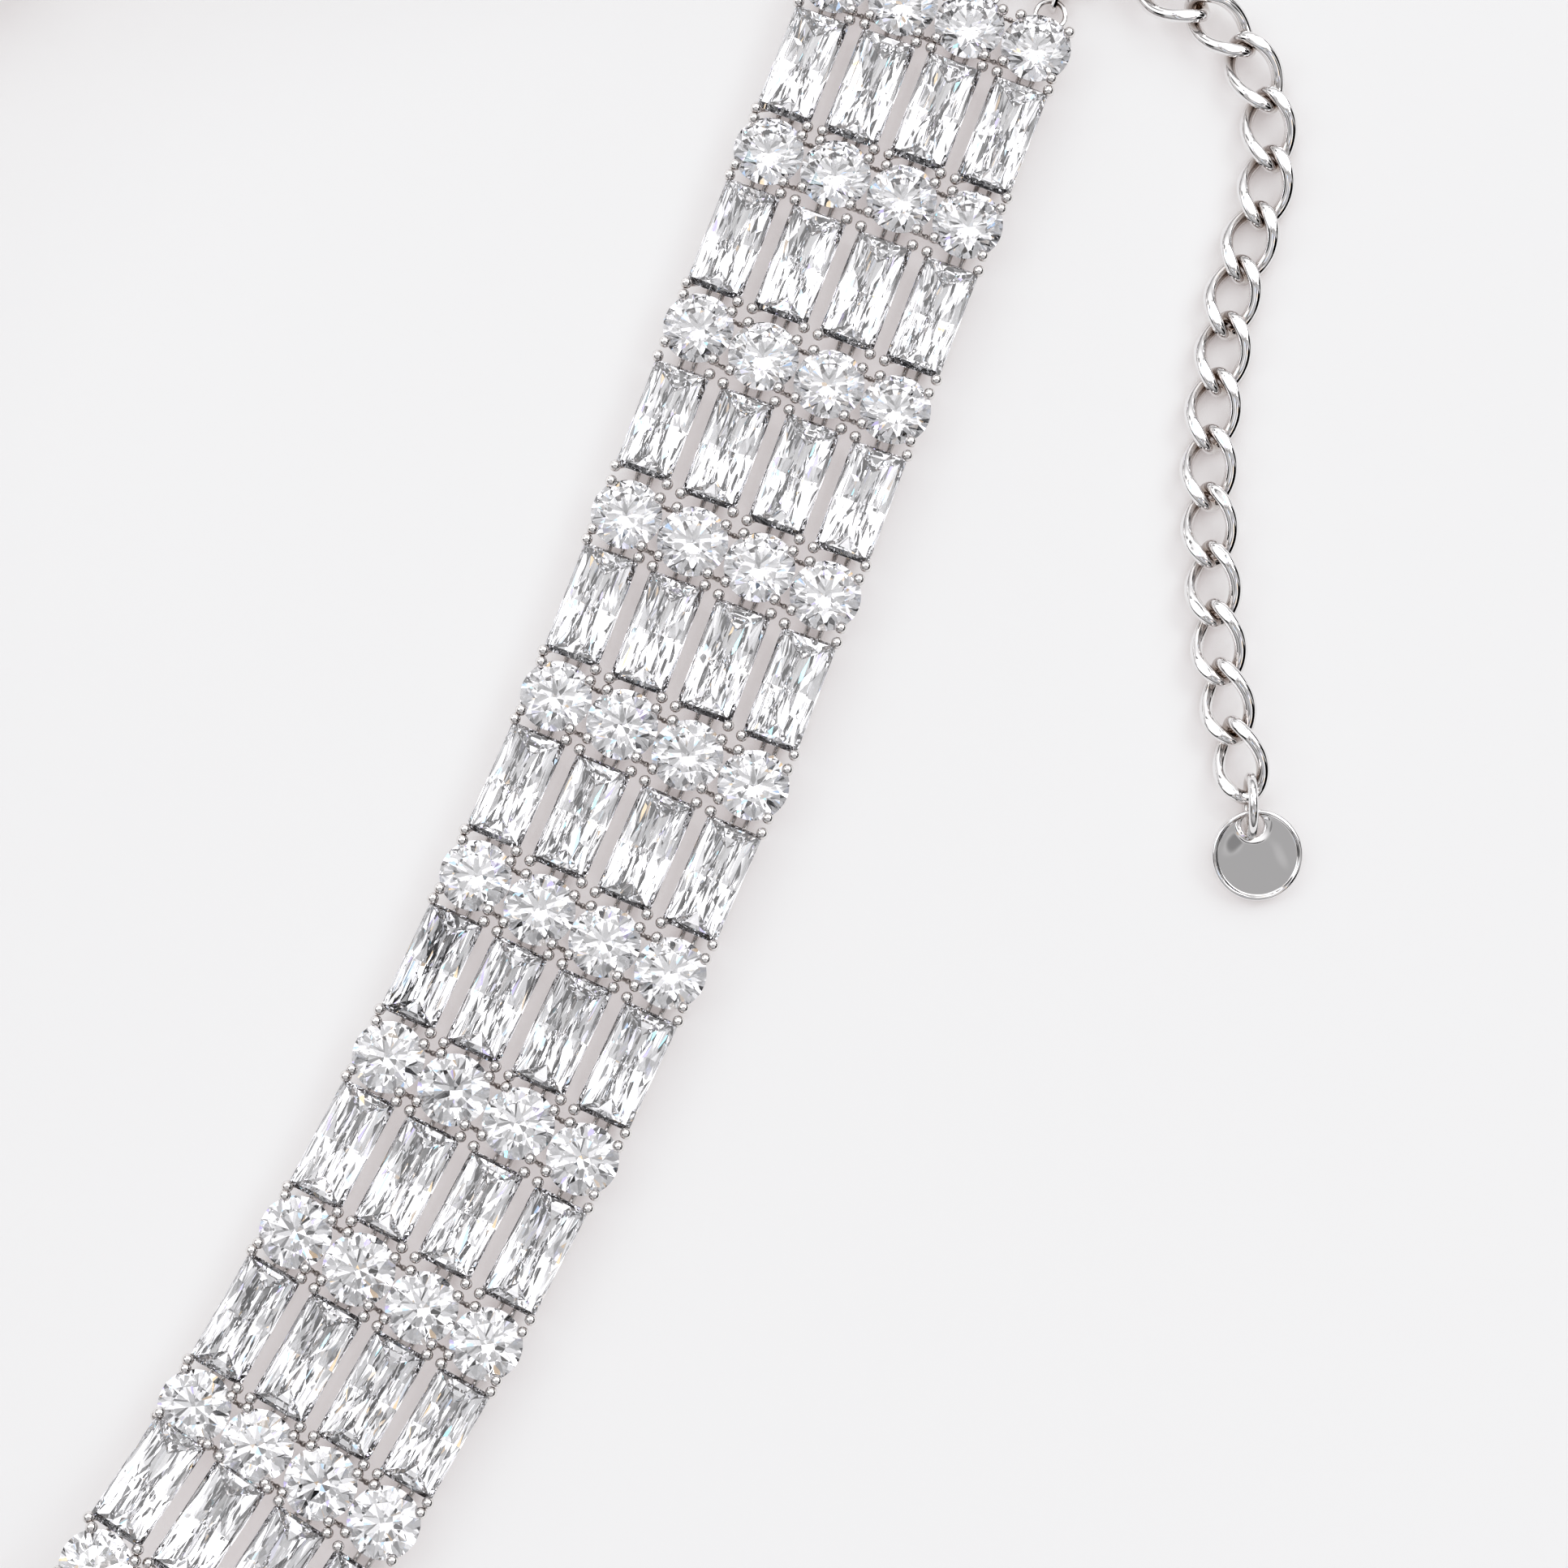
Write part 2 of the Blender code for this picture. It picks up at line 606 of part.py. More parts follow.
def lay_to_origin(root):
    """Moves everything so that the origin is at the middle of the bottom."""
    bpy.context.view_layer.update()
    graph = bpy.context.evaluated_depsgraph_get()
    low, high = Vector((9.0,) * 3), Vector((-9.0,) * 3)
    for thing in bpy.data.objects:
        if thing.type != "MESH" or thing.hide_render:
            continue
        shown = thing.evaluated_get(graph)
        for vertex in shown.data.vertices:
            spot = shown.matrix_world @ vertex.co
            low = Vector(map(min, low, spot))
            high = Vector(map(max, high, spot))
    root.location = (-(low.x + high.x) / 2, -(low.y + high.y) / 2, -low.z)


def main():
    for thing in list(bpy.data.objects):
        bpy.data.objects.remove(thing)
    silver = material("silver", (0.78, 0.77, 0.78), 1.0, 0.12)
    crystal = material("crystal", (0.9, 0.91, 0.94), 0.0, 0.02)
    root = bpy.data.objects.new("necklace", None)
    bpy.context.collection.objects.link(root)

    for strand in range(STRANDS):
        made = new_object(f"strand_{strand + 1}", strand_mesh(strand), [silver, crystal], None, root)
        for row in (0, LAST_ROW):
            join(made, strand_eye(row, strand, root))

    small = shared_mesh("strand_ring", ring_mesh(STRAND_RING_RADIUS, STRAND_RING_WIRE, 10, 5), silver)
    for end, row in (("start", 0), ("far", LAST_ROW)):
        for strand in range(STRANDS):
            place = end_matrix(row, strand, STRAND_EYE_REACH + STRAND_RING_RADIUS, STRAND_EYE_HEIGHT)
            placed(f"{end}_ring_{strand + 1}", small, place, root)

    lift = RING_HEIGHT - BAR_HEIGHT
    start_eye, start_out = end_bar("start_bar", 0, CLASP_RING_WIRE, lift, None, silver, root)
    hub = start_eye + start_out * CLASP_RING_RADIUS
    far_eye, _ = end_bar("far_bar", LAST_ROW, TAIL_RING_WIRE, 0.0, hub, silver, root)
    new_object("clasp_ring", ring_mesh(CLASP_RING_RADIUS, CLASP_RING_WIRE),
               [silver], level_basis(start_out, hub), root)
    hook = hub + level(far_eye - hub).normalized() * (CLASP_RING_RADIUS + HOOK_SLACK)
    hook.z = HOOK_HOLE_RADIUS + CLASP_RIM + SURFACE_GAP
    slope = (hook - far_eye).normalized()
    side = UP.cross(slope).normalized()
    new_object("tail_ring", ring_mesh(TAIL_RING_RADIUS, TAIL_RING_WIRE), [silver],
               basis(slope, side, slope.cross(side), far_eye + slope * TAIL_RING_RADIUS), root)
    clasp(hook, far_eye + slope * 2 * TAIL_RING_RADIUS, silver, root)

    place, along = extender(hub, silver, root)
    hang_tag(place, along, silver, root)
    lay_to_origin(root)


main()
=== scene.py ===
import math
import random

import bmesh
import bpy
import numpy as np
from mathutils import Matrix, Vector

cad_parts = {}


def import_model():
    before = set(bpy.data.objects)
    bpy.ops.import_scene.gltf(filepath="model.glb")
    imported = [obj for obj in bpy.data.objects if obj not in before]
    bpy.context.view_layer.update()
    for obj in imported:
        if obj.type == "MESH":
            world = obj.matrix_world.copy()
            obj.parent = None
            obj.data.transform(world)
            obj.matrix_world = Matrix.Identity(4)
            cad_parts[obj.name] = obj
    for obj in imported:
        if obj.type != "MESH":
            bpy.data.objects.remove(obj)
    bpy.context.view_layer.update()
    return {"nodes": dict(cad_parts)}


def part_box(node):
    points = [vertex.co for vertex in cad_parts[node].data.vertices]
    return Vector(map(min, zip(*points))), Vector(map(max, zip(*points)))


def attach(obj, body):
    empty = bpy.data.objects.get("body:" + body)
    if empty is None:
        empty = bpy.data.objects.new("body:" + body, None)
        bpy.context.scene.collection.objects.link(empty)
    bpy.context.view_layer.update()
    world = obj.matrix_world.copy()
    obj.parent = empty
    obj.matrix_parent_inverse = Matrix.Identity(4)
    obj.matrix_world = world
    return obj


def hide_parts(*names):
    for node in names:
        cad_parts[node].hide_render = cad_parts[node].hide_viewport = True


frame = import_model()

MM = 0.001
UP = Vector((0.0, 0.0, 1.0))
STILL = Matrix.Identity(4)
BACK = Matrix.Rotation(math.pi, 4, "Z")

# Sizes in metres, as in the CAD but for the links' width, wire and last roll, which follow the photograph
STRANDS = 4
PITCH = 12.1 * MM  # from one round stone to the next along a strand
STRAND_SPACING = 4.36 * MM
ROUND_WIDTH = 4.25 * MM
OBLONG_LENGTH = 7.05 * MM
OBLONG_WIDTH = 3.5 * MM
GIRDLE = 2.2 * MM  # height of a stone's widest place
TABLE = 2.85 * MM  # height of its flat top
LINK_WIDTH = 3.6 * MM
LINK_WIRE = 0.84 * MM
LINK_REACH = 2.365 * MM  # from a link's middle to its end's
LINK_TWIST = math.radians(-51)  # of a link's far end, and the other way at its near end
LAST_ROLL = math.radians(30)  # of the last link, towards the tag's ring
ROLLING_LINKS = 7
TAG_WIDTH = 5.5 * MM
TAG_THICKNESS = 0.8 * MM
TAG_HOLE = 1.4 * MM  # its width
TAG_HOLE_INSET = 0.25 * MM  # from the tag's edge to the hole's
TAG_DISH = 0.14 * MM
ORIGIN = Vector((38.3025, 57.7211, 0.0207)) * MM  # the first row's middle
LAST_ROW = 29
# The band's route past its first row, in pitches
BAND_ROUTE = [
    (0.0, 0.0), (-0.349, -0.917), (-0.714, -1.872), (-1.067, -2.826), (-1.419, -3.77),
    (-1.821, -4.701), (-2.237, -5.6), (-2.691, -6.486), (-3.171, -7.337), (-3.7, -8.18),
    (-4.3, -8.96), (-4.95, -9.67), (-5.63, -10.34), (-6.18, -10.72), (-6.96, -10.76),
    (-7.62, -10.34), (-7.92, -9.6), (-7.86, -8.6), (-7.62, -7.2), (-7.34, -5.7), (-6.98, -4.2),
    (-6.52, -2.8), (-5.92, -1.4), (-5.1, -0.12), (-4.0, 0.72), (-2.75, 1.15), (-1.5, 1.25),
]
ROW_SLIDE = (0.0, -0.014, 0.01, 0.03, 0.038, 0.05, 0.044, 0.038, 0.016)  # in pitches, row by row
ROW_SKEW = (-1.0, 0.0, 2.4, 2.8, 2.5, 2.8, 1.9, 1.6, 0.8)  # in degrees
STONE_PLAY = 0.006  # each stone's own slide along its strand, in pitches
RISE_ROWS = (8.0, 12.4)  # where the band leans over on its edge
EDGE_TILT = math.radians(89)

# Stones' cut
STONE_RADIUS = 2.17 * MM
ROUND_TABLE = 0.56  # these three are shares of the radius
STAR_REACH = 0.8
LOWER_REACH = 0.24
ROUND_DEPTH = 1.87 * MM
GIRDLE_BAND = 0.07 * MM
UPPER_SCALLOP, LOWER_SCALLOP = 0.7, 0.8  # how far the girdle dips and rises between the facets
OBLONG_DEPTH = 1.7 * MM
KEEL_RISE = 0.85  # depth of the keel's ends, as a share of its middle's
# Lines along an oblong stone's pavilion: share of its half width, share of its depth
OBLONG_LINES = ((1.0, 0.0), (0.84, 0.24), (0.66, 0.46), (0.48, 0.66), (0.26, 0.85), (0.0, 1.0))
# Where an even and an odd line break, as shares of their way from the middle to the end
LINE_BREAKS = ((0.45,), (0.25, 0.7))
OBLONG_BEVEL = 0.26 * MM
OBLONG_TABLE = TABLE - 0.1 * MM
END_APEX = 1.46 * MM  # length of the triangle of facets at each end
END_FACETS = ((0.62, 0.21), (0.25, 0.41), (-0.25, 0.41), (-0.62, 0.21))  # shares of half width and depth
OBLONG_CUTS = 8  # how many different oblong stones there are

# Settings. The numbers within brackets are in millimetres
BEAD = 0.37 * MM  # a prong's ball, its radius
BEAD_HEIGHT = 2.42 * MM
PRONG = 0.17 * MM
BASKET_RINGS = ((1.12, 0.3, 0.2, 20), (1.78, 1.45, 0.16, 24))  # radius, height, wire's radius, steps
BASKET_PRONG = ((1.12, 0.2), (1.85, 1.4), (2.2, 2.0), (2.24, 2.35))  # radius, height
BASKET_BEAD = 2.25 * MM  # radius at which the balls stand
GALLERY_FRAMES = ((0.95, 0.3, 0.2), (0.42, 1.35, 0.15))  # inset, height, wire's radius
GALLERY_PRONG = ((1.05, 0.85, 0.2), (0.35, 0.25, 1.35), (0.02, 0.0, 2.0), (0.0, 0.0, 2.35))
GALLERY_CORNER = (0.15, -0.06)  # how far a corner's ball stands past the stone's ends and sides
HINGE_START, HINGE_END = 1.2 * MM, -2.6 * MM
HINGE_HEIGHT = 0.42 * MM
HINGE_SPREAD = 0.42 * MM
HINGE_WIRE = 0.16 * MM
SIDE_REACH, SIDE_INSET, SIDE_HEIGHT = 1.45 * MM, 0.95 * MM, 1.3 * MM
SIDE_BEADS = ((0.35, 0.17), (0.65, 0.17), (0.5, 0.2))  # share of the way, radius
SIDE_WIRE = 0.13 * MM

# The chain's links and the tag
LINK_CUT = 0.12 * MM  # how much is cut flat off a link's high places
LINK_STEPS, LINK_SIDES = 84, 20
TAG_STEPS, TAG_RINGS = 150, 40
TAG_SOFT = 0.17 * MM  # the rounding of its edge
TAG_FALL = 0.2 * MM  # how far in the rim falls to the dish
PILLOW = (0.07 * MM, 0.1 * MM, 1.7 * MM)  # rise of the dish's middle, where it starts, its spread
TAG_WAVE = 0.013 * MM
HOLE_DIP = (0.06 * MM, 0.5 * MM, 0.4 * MM)  # depth, spread about the hole, spread from the rim
HOLE_SOFT = 0.1 * MM

# Materials
CRYSTAL_IOR = 2.13
# The stones' painted glow: a little light of their own, given off where light inside them meets a back facet
STONE_PAINTED_GLOW = 0.004  # share of a faint glow at each turn of the light inside a stone
GLOSS_SPREAD = (0.6, 1.6)  # the metal's roughness, from its smoothest to its dullest places
HEMMED_SAMPLES = 2
# The next three set where painted shade falls on the metal and on the sheet: where other pieces hem them in
METAL_SHADE_MASK = (1.1 * MM, 0.15, 0.85)  # reach, and how open a place is when darkest and when clear
SHEET_SHADE_MASK = (2.0 * MM, 0.12, 0.45)
SHEET_LEAST = 0.3  # how much of its glow and tone the sheet keeps where it is hemmed in

# Camera, as the photograph was taken: the middle of its view on the part, how far off, how oblique
VIEW_MIDDLE = Vector((28.8725, 9.3511, 2.0)) * MM
VIEW_DISTANCE = 275 * MM
VIEW_HALF_WIDTH = 47.12 * MM
VIEW_TILT = math.radians(10)
SENSOR = 36.0

# The sheet under the part is lit a little from below, which keeps its tone even
SHEET_SIZE = 1.5
SHEET = (0.38, 0.437, 0.437)
# The brown below is painted shade, which the sheet turns to where other pieces hem it in
SHEET_PAINTED_SHADE = (0.3, 0.21, 0.16)
SHEET_GLOW = (0.535, 0.48, 0.482)
KEY_PLACE, KEY_SIZE, KEY_POWER = Vector((0.5, 0.1, 0.62)), 0.3, 0.8
FIRST_LOW_CARD = 22  # the row where the low cards start
LOW_CARD_GAP = 0.3 * MM
LOW_CARD_POWER = 0.0003

# The room overhead is grey on the photographer's side, bright beyond
NEAR_LIGHT, FAR_LIGHT = 0.57, 1.42
NEAR_TO_FAR = (-0.12, 0.24)
HORIZON = 0.2  # the light near the horizon, as a share of the room's
HORIZON_BAND = (4, 34)  # in degrees, where that share rises to the whole
ROOM_TONE = (1.0, 0.992, 1.0)
# Each card in the room: direction, half angle, soft edge in degrees, and how much it adds to the light
CARDS = [
    ((0.0, -0.17, 1.0), 4, 3, -0.3),
    ((0.25, -0.29, 1.0), 6, 4, -0.12),
    ((0.8, 0.75, 0.9), 14, 3, 1.4),
    ((1.0, 0.2, 0.75), 9, 2, -1.3),
    ((0.75, 0.28, 1.0), 5, 2, -1.2),
    ((-0.9, 0.15, 0.9), 15, 3, 0.8),
    ((-0.25, -0.6, 1.0), 8, 2, 0.5),
    ((0.6, -0.75, 1.0), 7, 2, 0.7),
    ((-0.1, -0.42, 1.0), 4, 1, -0.45),
    ((-0.15, 0.08, 1.0), 2.5, 1, -1.0),
    ((0.22, 0.02, 1.0), 2.5, 1, -0.9),
    ((0.15, -0.62, 1.0), 4, 1, -0.45),
    ((-0.45, -0.3, 1.0), 5, 1, -0.45),
    ((-0.5, -0.95, 1.0), 6, 2, -0.45),
    ((-0.42, 0.42, 1.0), 5, 2, -1.2),
    ((0.52, -0.1, 1.0), 4, 2, -0.8),
    ((0.56, 0.1, 1.0), 4, 2, -0.9),
    ((0.56, 0.3, 1.0), 3, 2, -1.4),
    ((0.5, 1.1, 0.8), 5, 2, -1.4),
    ((-1.0, 0.9, 0.8), 9, 2, -1.1),
    ((1.0, -0.8, 0.8), 10, 2, -0.7),
    ((1.0, 0.1, 0.33), 12, 4, -0.9),
    ((0.9, -0.6, 0.3), 12, 4, -0.9),
    ((0.9, 0.75, 0.3), 12, 4, -0.9),
    ((-1.0, -0.3, 0.45), 9, 3, -0.8),
]
# Small tinted places in it, which the stones show as flecks: direction, half angle, colour
TINTS = [
    ((-0.2, 0.75, 1.0), 4, (0.62, 0.82, 1.0)),
    ((0.75, 0.15, 1.0), 4, (0.5, 0.7, 1.0)),
    ((-0.22, 0.3, 1.0), 3, (0.6, 0.8, 1.0)),
    ((-0.35, 0.1, 1.0), 2.5, (0.7, 0.62, 1.0)),
    ((0.35, -0.05, 1.0), 2, (1.0, 0.75, 0.5)),
    ((0.15, 1.2, 0.9), 2.5, (1.0, 0.75, 0.45)),
    ((-0.75, 0.0, 0.9), 3, (0.45, 0.88, 1.0)),
    ((0.6, -0.75, 1.0), 3, (1.0, 0.75, 0.45)),
    ((-0.25, -0.55, 1.0), 3, (0.5, 0.7, 1.0)),
    ((0.9, 0.6, 0.9), 3, (0.7, 0.6, 1.0)),
    ((-0.6, 0.7, 1.0), 2.5, (1.0, 0.78, 0.5)),
    ((0.5, -0.55, 1.0), 5, (0.86, 0.85, 1.0)),
    ((-0.6, -0.4, 1.0), 7, (1.0, 0.93, 0.88)),
    ((0.1, -0.9, 0.9), 8, (0.9, 0.92, 1.0)),
]
TINT_EDGE = 1


# Where the stones sit


def basis(along, across, up, place):
    turn = Matrix((along, across, up)).transposed().to_4x4()
    return Matrix.Translation(place) @ turn


class Route:
    """A smooth level curve through chosen points, read by its length."""

    STEPS = 16

    def __init__(self, points, unit):
        flat = [Vector(p) * unit for p in points]
        ends = [flat[0] * 2 - flat[1], *flat, flat[-1] * 2 - flat[-2]]
        self.places = [flat[0]]
        for a, b, c, d in zip(ends, ends[1:], ends[2:], ends[3:]):
            for k in range(1, self.STEPS + 1):
                t = k / self.STEPS
                self.places.append(
                    0.5 * ((2 * b) + (c - a) * t + (2 * a - 5 * b + 4 * c - d) * t**2
                           + (3 * b - a - 3 * c + d) * t**3)
                )
        self.marks = [0.0]
        for a, b in zip(self.places, self.places[1:]):
            self.marks.append(self.marks[-1] + (b - a).length)

    def at(self, distance):
        k = 1
        while k < len(self.marks) - 1 and self.marks[k] < distance:
            k += 1
        a, b = self.places[k - 1], self.places[k]
        return a.lerp(b, (distance - self.marks[k - 1]) / (self.marks[k] - self.marks[k - 1]))


def smoothstep(share):
    share = min(max(share, 0.0), 1.0)
    return share * share * (3 - 2 * share)


BAND = Route(BAND_ROUTE, PITCH)
HALF_BAND = (STRANDS - 1) / 2 * STRAND_SPACING + ROUND_WIDTH / 2


def tilt(row):
    return EDGE_TILT * smoothstep((row - RISE_ROWS[0]) / (RISE_ROWS[1] - RISE_ROWS[0]))


def edge_height(row):
    return HALF_BAND * math.sin(tilt(row))


MARKS = [0.0]
for _ in range(LAST_ROW):
    climb = edge_height(len(MARKS)) - edge_height(len(MARKS) - 1)
    MARKS.append(MARKS[-1] + math.sqrt(PITCH**2 - climb**2))


def centre(row):
    """The band's middle line at a row, or between two."""
    k = min(max(int(row), 0), LAST_ROW - 1)
    spot = BAND.at(MARKS[k] + (MARKS[k + 1] - MARKS[k]) * (row - k))
    return ORIGIN + Vector((spot.x, spot.y, edge_height(row)))


def round_matrix(row, strand):
    """Where the round stone of a strand sits in a row."""
    along = (centre(row + 0.2) - centre(row - 0.2)).normalized()
    side = UP.cross(along).normalized()
    lean = tilt(row)
    across = side * math.cos(lean) - UP * math.sin(lean)
    across = (across - along * across.dot(along)).normalized()
    skew = math.radians(ROW_SKEW[row] if row < len(ROW_SKEW) else 0.0)
    line = across * math.cos(skew) + along * math.sin(skew)
    slide = ROW_SLIDE[row] if row < len(ROW_SLIDE) else 0.0
    slide += STONE_PLAY * math.sin(2.4 * row + 1.7 * strand)
    if row in (0, LAST_ROW):
        slide = 0.0
    place = centre(row) + along * slide * PITCH + line * (strand - (STRANDS - 1) / 2) * STRAND_SPACING
    return basis(along, across, along.cross(across), place)


def oblong_matrix(row, strand):
    """Where the oblong stone sits between the round stones of a row and the next."""
    before, after = round_matrix(row, strand), round_matrix(row + 1, strand)
    along = (after.translation - before.translation).normalized()
    face = before.col[2].to_3d() + after.col[2].to_3d()
    face = (face - along * face.dot(along)).normalized()
    return basis(along, face.cross(along), face, before.translation.lerp(after.translation, 0.5))


# Materials


def tree(name):
    made = bpy.data.materials.new(name)
    made.use_nodes = True
    return made, made.node_tree.nodes, made.node_tree.links


def ranged(nodes, links, value, low, high, to_low=0.0, to_high=1.0, smooth=False):
    """A value carried from one range to another and held at its ends."""
    node = nodes.new("ShaderNodeMapRange")
    if smooth:
        node.interpolation_type = "SMOOTHSTEP"
    for name, number in (("From Min", low), ("From Max", high), ("To Min", to_low), ("To Max", to_high)):
        node.inputs[name].default_value = number
    links.new(value, node.inputs["Value"])
    return node.outputs["Result"]


def blend(nodes, links, share, first, second):
    """Two colours blended by a share. The first may be another node's."""
    node = nodes.new("ShaderNodeMix")
    node.data_type = "RGBA"
    links.new(share, node.inputs["Factor"])
    if isinstance(first, tuple):
        node.inputs["A"].default_value = (*first, 1.0)
    else:
        links.new(first, node.inputs["A"])
    node.inputs["B"].default_value = (*second, 1.0)
    return node.outputs["Result"]


def openness(nodes, links, hemmed, to_low=0.0):
    """1 at open places, to_low at those that other pieces hem in."""
    reach, closed, clear = hemmed
    node = nodes.new("ShaderNodeAmbientOcclusion")
    node.samples = HEMMED_SAMPLES
    node.inputs["Distance"].default_value = reach
    return ranged(nodes, links, node.outputs["AO"], closed, clear, to_low)


def crystal_material(name, mirror):
    """Clear cut stone. The back facets turn nearly all light from inside back, with a faint painted glow."""
    made, nodes, links = tree(name)
    nodes.remove(nodes["Principled BSDF"])
    surface = nodes.new("ShaderNodeBsdfGlass")
    surface.inputs["IOR"].default_value = CRYSTAL_IOR
    surface.inputs["Roughness"].default_value = 0.0
    if mirror:
        glass, surface = surface, nodes.new("ShaderNodeMixShader")
        turned = nodes.new("ShaderNodeBsdfGlossy")
        turned.inputs["Color"].default_value = (0.97, 0.97, 0.98, 1.0)
        turned.inputs["Roughness"].default_value = 0.0
        # Painted glow: a faintly blue emission added where light inside the stone meets a back facet
        painted_glow = nodes.new("ShaderNodeEmission")
        painted_glow.inputs["Color"].default_value = (0.94, 0.93, 1.0, 1.0)
        mirror_and_glow = nodes.new("ShaderNodeMixShader")
        mirror_and_glow.inputs[0].default_value = STONE_PAINTED_GLOW
        links.new(turned.outputs[0], mirror_and_glow.inputs[1])
        links.new(painted_glow.outputs[0], mirror_and_glow.inputs[2])
        side = nodes.new("ShaderNodeNewGeometry")
        links.new(side.outputs["Backfacing"], surface.inputs[0])
        links.new(glass.outputs[0], surface.inputs[1])
        links.new(mirror_and_glow.outputs[0], surface.inputs[2])
    links.new(surface.outputs[0], nodes["Material Output"].inputs["Surface"])
    return made


def metal_material(name, colour, dull, scale, painted_shade=None):
    """Polished plated metal, its gloss slightly uneven, with painted shade, darker and browner, where other
    pieces hem it in.
    """
    made, nodes, links = tree(name)
    shader = nodes["Principled BSDF"]
    shader.inputs["Metallic"].default_value = 1.0
    shader.inputs["Base Color"].default_value = (*colour, 1.0)
    place = nodes.new("ShaderNodeTexCoord")
    cloud = nodes.new("ShaderNodeTexNoise")
    cloud.inputs["Scale"].default_value = scale
    cloud.inputs["Detail"].default_value = 4.0
    links.new(place.outputs["Object"], cloud.inputs["Vector"])
    smoothest, dullest = (dull * share for share in GLOSS_SPREAD)
    gloss = ranged(nodes, links, cloud.outputs["Fac"], 0.0, 1.0, smoothest, dullest)
    links.new(gloss, shader.inputs["Roughness"])
    bump = nodes.new("ShaderNodeBump")
    bump.inputs["Strength"].default_value = 0.04
    bump.inputs["Distance"].default_value = 0.00002
    links.new(cloud.outputs["Fac"], bump.inputs["Height"])
    links.new(bump.outputs["Normal"], shader.inputs["Normal"])
    # Painted shade: the colour turns dark brown where other pieces hem the metal in
    if painted_shade:
        painted_shade_colour = blend(nodes, links, openness(nodes, links, METAL_SHADE_MASK), painted_shade, colour)
        links.new(painted_shade_colour, shader.inputs["Base Color"])
    return made


CRYSTAL = [crystal_material("cut_crystal", False), crystal_material("cut_crystal_back", True)]
# The last colour given to the silver and to the prongs is painted shade, the dark brown they turn to where
# other pieces hem them in
SILVER = [metal_material("plated_silver", (0.9, 0.89, 0.89), 0.05, 900.0, (0.2, 0.12, 0.07))]
POLISHED = [metal_material("polished_tag", (0.86, 0.85, 0.85), 0.04, 700.0)]
BEADS = [metal_material("plated_prongs", (0.9, 0.88, 0.87), 0.12, 1500.0, (0.16, 0.1, 0.07))]


# Meshes


class Pile:
    """Many placed copies of small meshes, gathered into one mesh."""

    def __init__(self):
        self.places, self.faces, self.slots, self.count = [], [], [], 0

    def add(self, pattern, matrix):
        spots, faces, slots = pattern
        self.slots += slots
        turn = np.array(matrix)
        self.places.append(spots @ turn[:3, :3].T + turn[:3, 3])
        self.faces += [[k + self.count for k in face] for face in faces]
        self.count += len(spots)

    def mesh(self, name):
        made = bpy.data.meshes.new(name)
        made.from_pydata(np.concatenate(self.places).tolist(), [], self.faces)
        made.polygons.foreach_set("material_index", self.slots)
        return made


def pattern(build, *details):
    """A small mesh that build makes, as its points, faces and their materials."""
    bm = bmesh.new()
    build(bm, *details)
    bmesh.ops.recalc_face_normals(bm, faces=bm.faces)
    spots = np.array([v.co for v in bm.verts])
    bm.verts.index_update()
    faces = [[v.index for v in face.verts] for face in bm.faces]
    slots = [face.material_index for face in bm.faces]
    bm.free()
    return spots, faces, slots


def finished(bm, name):
    mesh = bpy.data.meshes.new(name)
    bm.to_mesh(mesh)
    bm.free()
    return mesh


def put(name, data):
    thing = bpy.data.objects.new(name, data)
    bpy.context.collection.objects.link(thing)
    return thing


def shown(name, mesh, materials, replaced=(), smooth=False, matrix=None):
    if not mesh.materials:
        for material in materials:
            mesh.materials.append(material)
    if smooth:
        mesh.shade_smooth()
    thing = put(name, mesh)
    if matrix is not None:
        thing.matrix_world = matrix
    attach(thing, "root")
    if replaced:
        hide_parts(*replaced)


def points(bm, places):
    return [bm.verts.new(p) for p in places]


def circle(count, radius, turn=0.0, height=0.0):
    angles = [turn + math.tau * k / count for k in range(count)]
    return [(radius * math.cos(a), radius * math.sin(a), height) for a in angles]


def rectangle(half_length, half_width, height):
    a, b = half_length, half_width
    return [(a, -b, height), (a, b, height), (-a, b, height), (-a, -b, height)]


def round_stone(bm):
    """A brilliant: table, stars, kites and halves over a pavilion of eight mains and sixteen halves."""
    r, t, step = STONE_RADIUS, STONE_RADIUS * ROUND_TABLE, math.tau / 16
    base = GIRDLE - GIRDLE_BAND
    bulge = r * (1 - math.cos(step / 2))

    def crown_height(radius):
        return TABLE - (radius * math.cos(step) - t) / (r - t) * (TABLE - GIRDLE)

    star, low = r * STAR_REACH, r * LOWER_REACH
    table = points(bm, circle(8, t, 0.0, TABLE))
    stars = points(bm, circle(8, star, step, crown_height(star)))
    upper = points(bm, circle(16, r, 0.0, GIRDLE))
    upper_mids = points(bm, circle(16, r, step / 2, GIRDLE - bulge * UPPER_SCALLOP))
    lower = points(bm, circle(16, r, 0.0, base))
    lower_mids = points(bm, circle(16, r, step / 2, base + bulge * LOWER_SCALLOP))
    halves = points(bm, circle(8, low, step, base - ROUND_DEPTH * (1 - low * math.cos(step) / r)))
    (culet,) = points(bm, [(0.0, 0.0, base - ROUND_DEPTH)])
    new = bm.faces.new
    new(table)
    for k in range(8):
        new((table[k], stars[k], table[(k + 1) % 8]))
        new((table[k], stars[k - 1], upper[2 * k], stars[k]))
        new((stars[k], upper[2 * k], upper_mids[2 * k], upper[2 * k + 1]))
        new((stars[k], upper[2 * k + 1], upper_mids[2 * k + 1], upper[(2 * k + 2) % 16]))
        new((culet, halves[k], lower[2 * k], halves[k - 1])).material_index = 1
        new((halves[k], lower[2 * k + 1], lower_mids[2 * k], lower[2 * k])).material_index = 1
        new((halves[k], lower[(2 * k + 2) % 16], lower_mids[2 * k + 1], lower[2 * k + 1])).material_index = 1
    for k in range(16):
        new((upper[k], lower[k], lower_mids[k], upper_mids[k]))
        new((upper_mids[k], lower_mids[k], lower[(k + 1) % 16], upper[(k + 1) % 16]))


